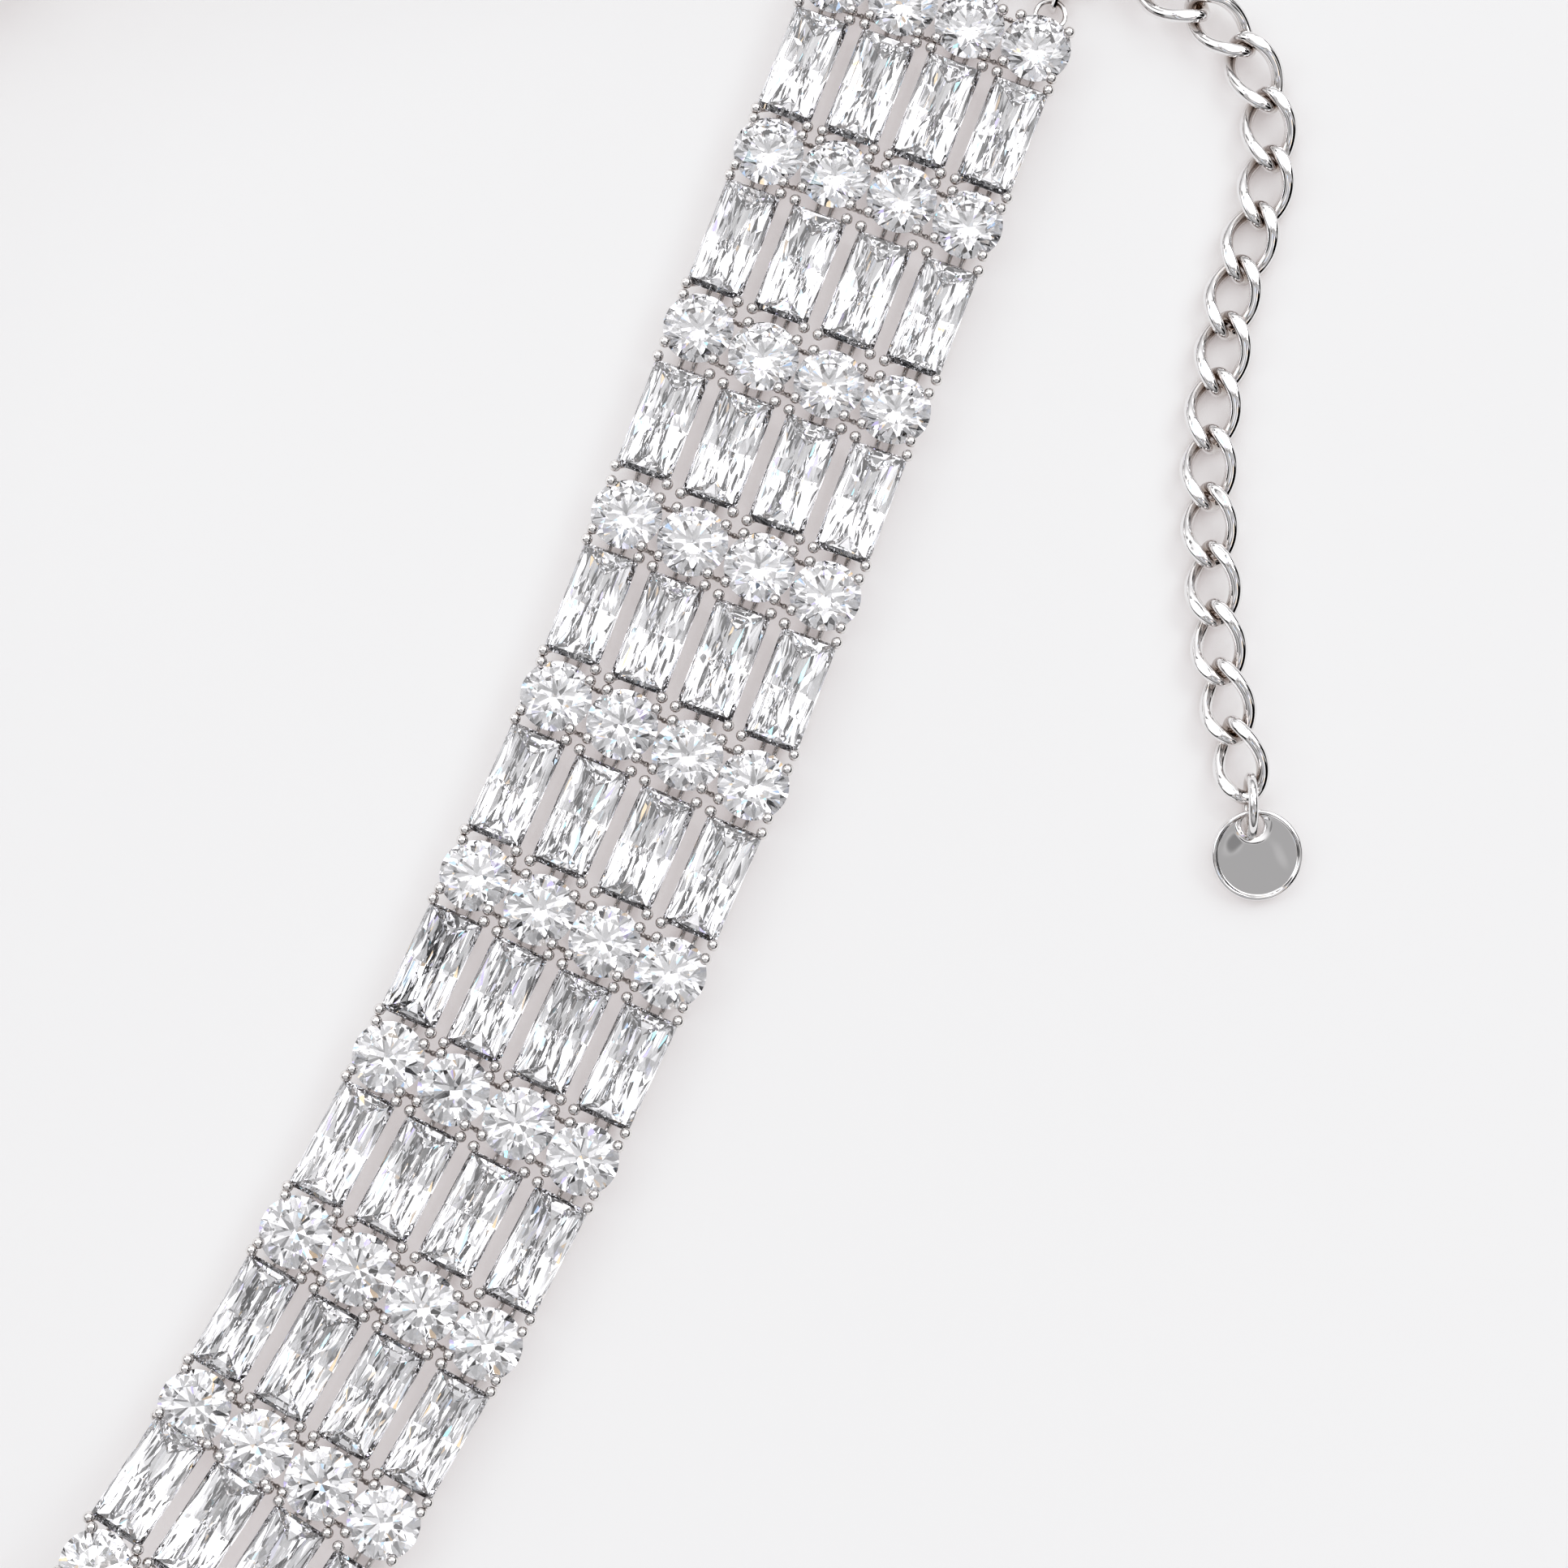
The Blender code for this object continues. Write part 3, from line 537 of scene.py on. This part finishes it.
def laced(bm, first, second):
    """Long triangles between two rows of points that run the same way."""
    i = j = 0
    while i < len(first) - 1 or j < len(second) - 1:
        ahead = (i + 1) * (len(second) - 1) <= (j + 1) * (len(first) - 1)
        if j == len(second) - 1 or (ahead and i < len(first) - 1):
            corners = (first[i], first[i + 1], second[j])
            i += 1
        else:
            corners = (first[i], second[j + 1], second[j])
            j += 1
        if len(set(corners)) == 3:
            bm.faces.new(corners).material_index = 1


def oblong_stone(bm, cut):
    """A long cut: bevelled crown, a keel that dips to the middle, long side facets and small end ones."""
    length, width = OBLONG_LENGTH / 2, OBLONG_WIDTH / 2
    end_depth = OBLONG_DEPTH * KEEL_RISE

    def place(u, v, depth):
        return bm.verts.new((u, v, GIRDLE - GIRDLE_BAND - depth))

    def play(size):
        return cut.uniform(-size, size) * MM

    table = points(bm, rectangle(length - OBLONG_BEVEL, width - OBLONG_BEVEL, OBLONG_TABLE))
    upper = points(bm, rectangle(length, width, GIRDLE))
    bm.faces.new(table)
    for k in range(4):
        bm.faces.new((table[k], upper[k], upper[(k + 1) % 4], table[(k + 1) % 4]))

    keel = place(0.0, 0.0, OBLONG_DEPTH)
    tips = {su: place(su * (length - END_APEX), 0.0, end_depth) for su in (1, -1)}
    ridges, waists = {}, {}
    for sv in (1, -1):
        middle = [place(0.0, sv * width * v, OBLONG_DEPTH * d) for v, d in OBLONG_LINES[:-1]] + [keel]
        waists[sv] = middle[0]
        for su in (1, -1):
            ridge = [
                place(su * (length - END_APEX * (1 - v)), sv * width * v, end_depth * d)
                for v, d in OBLONG_LINES[:-1]
            ] + [tips[su]]
            ridges[su, sv] = ridge
            lines = []
            for k in range(len(OBLONG_LINES)):
                line = [middle[k], ridge[k]]
                if 0 < k < len(OBLONG_LINES) - 1:
                    for share in LINE_BREAKS[k % 2]:
                        share += cut.uniform(-0.18, 0.18)
                        spot = middle[k].co.lerp(ridge[k].co, share)
                        spot += Vector((0.0, play(0.05), play(0.025)))
                        line.insert(-1, bm.verts.new(spot))
                lines.append(line)
            for a, b in zip(lines, lines[1:]):
                laced(bm, a, b)
    for su in (1, -1):
        edge = [ridges[su, 1][0]] + [place(su * length, width * v, 0.0) for v in (0.5, 0.0, -0.5)]
        edge.append(ridges[su, -1][0])
        inner = [ridges[su, 1][0]]
        for v, d in END_FACETS:
            u = su * (length - END_APEX * (1 - abs(v)) * 0.5 + play(0.05))
            inner.append(place(u, width * v, end_depth * (d + cut.uniform(-0.02, 0.02))))
        inner.append(ridges[su, -1][0])
        laced(bm, edge, inner)
        laced(bm, inner, ridges[su, 1] + ridges[su, -1][-2::-1])
        low, high = (upper[1], upper[0]) if su == 1 else (upper[2], upper[3])
        bm.faces.new((low, *edge, high))
    for sv, (a, b) in ((1, (upper[1], upper[2])), (-1, (upper[0], upper[3]))):
        bm.faces.new((a, ridges[1, sv][0], waists[sv], ridges[-1, sv][0], b))


def ball(bm, matrix, place, radius, rings=7, sides=12):
    made = bmesh.ops.create_uvsphere(bm, u_segments=sides, v_segments=rings, radius=radius)["verts"]
    bmesh.ops.transform(bm, matrix=matrix @ Matrix.Translation(place), verts=made)


def around(bm, matrix, place, out, rise, radius, sides):
    """A ring of points about a place."""
    return [
        bm.verts.new(matrix @ (place + radius * (out * math.cos(a) + rise * math.sin(a))))
        for a in (math.tau * m / sides for m in range(sides))
    ]


def skin(bm, rings, closed=True):
    """Faces between each ring of points and the next, and back to the first where they close."""
    for here, there in zip(rings, rings[1:] + rings[:1] if closed else rings[1:]):
        for k in range(len(here)):
            m = (k + 1) % len(here)
            bm.faces.new((here[k], here[m], there[m], there[k]))


def tube(bm, matrix, path, radius, sides=8, closed=False):
    """A round wire along a path of places, its ends closed."""
    places = [Vector(p) for p in path]
    count = len(places)
    rings = []
    hint = None
    for k, place in enumerate(places):
        ahead = places[(k + 1) % count] if closed or k + 1 < count else place
        behind = places[k - 1] if closed or k else place
        along = (ahead - behind).normalized()
        if hint is None:
            hint = Vector((0, 0, 1)) if abs(along.z) < 0.9 else Vector((1, 0, 0))
        out = along.cross(hint).normalized()
        hint = out.cross(along)
        rings.append(around(bm, matrix, place, out, hint, radius, sides))
    skin(bm, rings, closed)
    if not closed:
        bm.faces.new(rings[0])
        bm.faces.new(rings[-1])


# The strands


def round_setting(bm):
    """A basket: two rings and four ball prongs."""
    for radius, height, wire, steps in BASKET_RINGS:
        tube(bm, STILL, circle(steps, radius * MM, 0.0, height * MM), wire * MM, 6, True)
    for k in range(4):
        turn = Matrix.Rotation(math.pi / 4 + k * math.pi / 2, 4, "Z")
        tube(bm, turn, [(radius * MM, 0, height * MM) for radius, height in BASKET_PRONG], PRONG)
        ball(bm, turn, (BASKET_BEAD, 0, BEAD_HEIGHT), BEAD)


def oblong_setting(bm):
    """A gallery frame with a ball prong at each corner."""
    long, wide = OBLONG_LENGTH / 2, OBLONG_WIDTH / 2
    for inset, height, wire in GALLERY_FRAMES:
        corners = rectangle(long - inset * MM, wide - inset * MM, height * MM)
        for p, q in zip(corners, corners[1:] + corners[:1]):
            tube(bm, STILL, [p, q], wire * MM, 6)
    for su in (1, -1):
        for sv in (1, -1):
            u, v = su * (long + GALLERY_CORNER[0] * MM), sv * (wide + GALLERY_CORNER[1] * MM)
            path = [(u - su * a * MM, v - sv * b * MM, height * MM) for a, b, height in GALLERY_PRONG]
            tube(bm, STILL, path, PRONG)
            ball(bm, STILL, (u, v, BEAD_HEIGHT), BEAD)


def joint_link(bm, a, b):
    """The small hinge between a round setting and an oblong one."""
    start, end = a @ Vector((HINGE_START, 0, HINGE_HEIGHT)), b @ Vector((HINGE_END, 0, HINGE_HEIGHT))
    along = (end - start).normalized()
    side = a.col[2].to_3d().cross(along).normalized()
    here = basis(along, side, along.cross(side), start)
    length = (end - start).length
    for v in (-HINGE_SPREAD, HINGE_SPREAD):
        tube(bm, here, [(0, v, 0), (length, v, 0)], HINGE_WIRE, 6)


def side_link(bm, a, b):
    """Small beads that join a row's neighbouring settings."""
    for u in (SIDE_REACH, -SIDE_REACH):
        start, end = a @ Vector((u, SIDE_INSET, SIDE_HEIGHT)), b @ Vector((u, -SIDE_INSET, SIDE_HEIGHT))
        for share, size in SIDE_BEADS:
            ball(bm, STILL, start.lerp(end, share), size * MM, 6, 8)
        tube(bm, STILL, [start, end], SIDE_WIRE, 6)


def wobble(degrees, spin=0.0):
    """A stone's own small turns about the middle of its girdle."""
    lift = Matrix.Translation((0, 0, GIRDLE))
    turn = Matrix.Rotation(math.radians(cut.uniform(-degrees, degrees)), 4, "X")
    turn @= Matrix.Rotation(math.radians(cut.uniform(-degrees, degrees)), 4, "Y")
    return lift @ turn @ lift.inverted() @ Matrix.Rotation(spin, 4, "Z")


cut = random.Random(7)
BRILLIANT = pattern(round_stone)
OBLONGS = [pattern(oblong_stone, cut) for _ in range(OBLONG_CUTS)]
BASKET = pattern(round_setting)
GALLERY = pattern(oblong_setting)
for strand in range(STRANDS):
    stones, metal = Pile(), Pile()
    for row in range(LAST_ROW + 1):
        here = round_matrix(row, strand)
        stones.add(BRILLIANT, here @ wobble(1.6, cut.uniform(0.0, math.tau)))
        metal.add(BASKET, here)
        if strand + 1 < STRANDS:
            metal.add(pattern(side_link, here, round_matrix(row, strand + 1)), STILL)
        if row < LAST_ROW:
            between = oblong_matrix(row, strand)
            stones.add(cut.choice(OBLONGS), between @ wobble(1.2) @ (BACK if cut.random() < 0.5 else STILL))
            metal.add(GALLERY, between)
            metal.add(pattern(joint_link, here, between), STILL)
            metal.add(pattern(joint_link, round_matrix(row + 1, strand) @ BACK, between @ BACK), STILL)
    shown(f"stones_{strand + 1}", stones.mesh("stones"), CRYSTAL, (f"strand_{strand + 1}",))
    shown(f"settings_{strand + 1}", metal.mesh("settings"), BEADS, smooth=True)


# The extender chain


def link_mesh():
    """A curb link: an oval of round wire, its ends twisted opposite ways, its high places cut flat."""
    wide = (LINK_WIDTH - LINK_WIRE) / 2
    spots, normals = [], []
    for k in range(LINK_STEPS):
        angle = math.tau * k / LINK_STEPS
        twist = LINK_TWIST * math.cos(angle)
        across = Vector((0.0, math.cos(twist), math.sin(twist)))
        spots.append(Vector((LINK_REACH * math.cos(angle), 0.0, 0.0)) + across * wide * math.sin(angle))
        normals.append(Vector((0.0, -math.sin(twist), math.cos(twist))))
    bm = bmesh.new()
    rings = []
    for k, spot in enumerate(spots):
        ahead = (spots[(k + 1) % LINK_STEPS] - spots[k - 1]).normalized()
        out = ahead.cross(normals[k]).normalized()
        rings.append(around(bm, STILL, spot, out, out.cross(ahead), LINK_WIRE / 2, LINK_SIDES))
    top = max(v.co.z for v in bm.verts) - LINK_CUT
    for v in bm.verts:
        v.co.z = min(max(v.co.z, -top), top)
    skin(bm, rings)
    bmesh.ops.recalc_face_normals(bm, faces=bm.faces)
    return finished(bm, "curb_link")


def points_middle(node):
    """The mean of a CAD body's points, for a link its middle."""
    spots = frame["nodes"][node].data.vertices
    return sum((v.co for v in spots), Vector()) / len(spots)


LINK = link_mesh()
links = sorted(name for name in frame["nodes"] if name.startswith("chain_link_"))
middles = [points_middle(name) for name in links]
for k, name in enumerate(links):
    along = (middles[min(k + 1, len(links) - 1)] - middles[max(k - 1, 0)]).normalized()
    across = UP.cross(along).normalized()
    roll = LAST_ROLL * smoothstep((k + 1 - len(links) + ROLLING_LINKS) / ROLLING_LINKS)
    matrix = basis(along, across, along.cross(across), middles[k]) @ Matrix.Rotation(roll, 4, "X")
    shown(f"link_{k + 1:02d}", LINK, SILVER, (name,), True, matrix)


# Rings, tag, bars and clasp, each at its place in the CAD


def lie(node):
    """Middle and axes of a flat CAD body, its thin way last and pointing up, and its points in them."""
    spots = np.array([v.co for v in frame["nodes"][node].data.vertices])
    _, _, axes = np.linalg.svd(spots - spots.mean(axis=0), full_matrices=False)
    if axes[2, 2] < 0:
        axes[2] *= -1
    axes[1] = np.cross(axes[2], axes[0])
    flat = spots @ axes.T
    middle = (flat.min(axis=0) + flat.max(axis=0)) / 2
    return basis(*(Vector(a) for a in axes), Vector(middle @ axes)), flat - middle


def wire_ring(node):
    matrix, flat = lie(node)
    far = float(np.hypot(flat[:, 0], flat[:, 1]).max())
    wire = float(np.ptp(flat[:, 2])) / 2
    bm = bmesh.new()
    tube(bm, STILL, circle(56, far - wire), wire, 16, True)
    bmesh.ops.recalc_face_normals(bm, faces=bm.faces)
    shown(f"{node}_wire", finished(bm, f"{node}_wire"), SILVER, (node,), True, matrix)


def quarter_round(depth, size):
    """How far a rounded edge has dropped at a depth into its rounding."""
    share = depth / size
    return size * (1 - math.sqrt(max(1 - share * share, 0.0)))


def tag_disc():
    """A dished disc with a soft raised rim and one hole by its edge."""
    matrix, _ = lie("tag")
    low, high = (Vector(corner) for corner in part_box("tag_ring"))
    hook = matrix.inverted() @ ((low + high) / 2)
    out = Vector((hook.x, hook.y, 0.0)).normalized()
    edge = TAG_WIDTH / 2
    hole = out * (edge - TAG_HOLE_INSET - TAG_HOLE / 2)

    def height(place, side):
        """Half thickness at a place: rounded edge, crest of the rim, then a low pillow on the upper side."""
        top = TAG_THICKNESS / 2
        inner = edge - TAG_SOFT - place.length
        gap = (place - hole).length - TAG_HOLE / 2
        if inner < 0:
            top -= quarter_round(-inner, TAG_SOFT)
        elif side > 0:
            rise, start, spread = PILLOW
            top -= TAG_DISH * smoothstep(inner / TAG_FALL)
            top += rise * smoothstep((inner - start) / spread)
            u, v = place.x / MM, place.y / MM
            top += TAG_WAVE * (math.sin(2.1 * u + 0.8 * v) + math.sin(1.3 * u - 2.4 * v + 1.0))
        if side > 0:
            dip, about, within = HOLE_DIP
            top -= dip * (1 - smoothstep(gap / about)) * smoothstep(inner / within)
        if gap < HOLE_SOFT:
            top -= quarter_round(HOLE_SOFT - gap, HOLE_SOFT)
        return side * top

    bm = bmesh.new()
    rings = []
    shares = [1 - math.cos(math.pi * k / 2 / TAG_RINGS) for k in range(TAG_RINGS + 1)]
    shares = [s / 2 for s in shares] + [1 - s / 2 for s in shares[-2::-1]]
    for side in (1, -1):
        for share in shares if side > 0 else shares[::-1]:
            ring = []
            for k in range(TAG_STEPS):
                angle = math.tau * k / TAG_STEPS
                way = Vector((math.cos(angle), math.sin(angle), 0.0))
                spot = (hole + way * TAG_HOLE / 2).lerp(way * edge, share)
                ring.append(bm.verts.new((spot.x, spot.y, height(spot, side))))
            rings.append(ring)
    skin(bm, rings)
    bmesh.ops.recalc_face_normals(bm, faces=bm.faces)
    shown("tag_disc", finished(bm, "tag_disc"), POLISHED, ("tag",), True, matrix)


def softened(node):
    """A CAD body with its edges rounded off."""
    bm = bmesh.new()
    bm.from_mesh(frame["nodes"][node].data)
    bmesh.ops.remove_doubles(bm, verts=bm.verts, dist=0.001 * MM)
    bmesh.ops.dissolve_limit(bm, angle_limit=math.radians(1), verts=bm.verts, edges=bm.edges)
    sharp = [e for e in bm.edges if e.is_manifold and e.calc_face_angle() > math.radians(35)]
    bmesh.ops.bevel(
        bm, geom=sharp, offset=0.1 * MM, segments=2, profile=0.6, affect="EDGES", clamp_overlap=True
    )
    shown(f"{node}_soft", finished(bm, f"{node}_soft"), SILVER, (node,), True)


for name in list(frame["nodes"]):
    if "ring" in name:
        wire_ring(name)
for name in ("start_bar", "far_bar", "clasp"):
    softened(name)
tag_disc()


# Floor, light and camera


def floor():
    bm = bmesh.new()
    bmesh.ops.create_grid(bm, x_segments=1, y_segments=1, size=SHEET_SIZE)
    mesh = finished(bm, "floor")
    made, nodes, links = tree("pale_sheet")
    shader = nodes["Principled BSDF"]
    shader.inputs["Emission Color"].default_value = (*SHEET_GLOW, 1.0)
    shader.inputs["Roughness"].default_value = 0.8
    shader.inputs["Specular IOR Level"].default_value = 0.2
    # Painted shade: where other pieces hem the sheet in, its glow fades and its colour turns brown
    clear = openness(nodes, links, SHEET_SHADE_MASK, SHEET_LEAST)
    links.new(clear, shader.inputs["Emission Strength"])
    links.new(blend(nodes, links, clear, SHEET_PAINTED_SHADE, SHEET), shader.inputs["Base Color"])
    mesh.materials.append(made)
    put("floor", mesh)


def area(name, place, target, size, power):
    light = bpy.data.lights.new(name, "AREA")
    light.shape = "RECTANGLE"
    light.size, light.size_y = size
    light.energy = power
    thing = put(name, light)
    thing.visible_camera = False
    thing.location = place
    thing.rotation_euler = (Vector(target) - Vector(place)).to_track_quat("-Z", "Y").to_euler()


def world():
    """A white studio, brighter beyond the part than on the camera's side, with cards and dark gaps."""
    made = bpy.data.worlds.new("studio")
    made.use_nodes = True
    made.cycles.sampling_method = "NONE"  # the room is even enough to need no light samples of its own
    bpy.context.scene.world = made
    nodes, links = made.node_tree.nodes, made.node_tree.links
    sky = nodes["Background"]
    place = nodes.new("ShaderNodeTexCoord")

    def math_node(kind, a, b):
        node = nodes.new("ShaderNodeMath")
        node.operation = kind
        for slot, value in zip(node.inputs, (a, b)):
            if isinstance(value, (int, float)):
                slot.default_value = value
            else:
                links.new(value, slot)
        return node.outputs[0]

    def card(direction, wide, soft):
        """1 within an angle of a direction, 0 past it, soft at the edge."""
        dot = nodes.new("ShaderNodeVectorMath")
        dot.operation = "DOT_PRODUCT"
        links.new(place.outputs["Generated"], dot.inputs[0])
        dot.inputs[1].default_value = Vector(direction).normalized()
        out, within = math.cos(math.radians(wide + soft)), math.cos(math.radians(wide))
        return ranged(nodes, links, dot.outputs["Value"], out, within, smooth=True)

    way = nodes.new("ShaderNodeSeparateXYZ")
    links.new(place.outputs["Generated"], way.inputs[0])
    low, high = (math.sin(math.radians(angle)) for angle in HORIZON_BAND)
    horizon = ranged(nodes, links, way.outputs["Z"], low, high, HORIZON, smooth=True)
    beyond = ranged(nodes, links, way.outputs["Y"], *NEAR_TO_FAR, NEAR_LIGHT, FAR_LIGHT, smooth=True)
    light = math_node("MULTIPLY", horizon, beyond)
    for direction, wide, soft, change in CARDS:
        light = math_node("ADD", light, math_node("MULTIPLY", card(direction, wide, soft), change))
    links.new(math_node("MAXIMUM", light, 0.0), sky.inputs["Strength"])
    tint = ROOM_TONE
    for direction, wide, colour in TINTS:
        tint = blend(nodes, links, card(direction, wide, TINT_EDGE), tint, colour)
    links.new(tint, sky.inputs["Color"])


floor()
world()
area("key", VIEW_MIDDLE + KEY_PLACE, VIEW_MIDDLE, (KEY_SIZE, KEY_SIZE), KEY_POWER)
# The hidden stretch of the loop stands by the view's corner: low cards on its back keep the light even
for row in range(FIRST_LOW_CARD, LAST_ROW):
    middle = (oblong_matrix(row, 1).translation + oblong_matrix(row, 2).translation) / 2
    outward = oblong_matrix(row, 1).to_3x3() @ Vector((0.0, 0.0, -1.0))
    size = (STRANDS * STRAND_SPACING, PITCH)
    area(f"low_card_{row}", middle + outward * LOW_CARD_GAP, middle + outward, size, LOW_CARD_POWER)

camera = bpy.data.cameras.new("camera")
camera.lens = SENSOR / 2 * VIEW_DISTANCE / VIEW_HALF_WIDTH
camera.sensor_width = SENSOR
camera.clip_start = 0.01
eye = put("camera", camera)
right = Vector((1.0, 0.0, 0.0))
toward = Vector((0.0, -math.sin(VIEW_TILT), math.cos(VIEW_TILT)))
eye.matrix_world = basis(right, toward.cross(right), toward, VIEW_MIDDLE + toward * VIEW_DISTANCE)
scene = bpy.context.scene
scene.camera = eye
scene.view_settings.view_transform = "Standard"
scene.cycles.max_bounces = 12
scene.cycles.transmission_bounces = 10
scene.cycles.glossy_bounces = 10
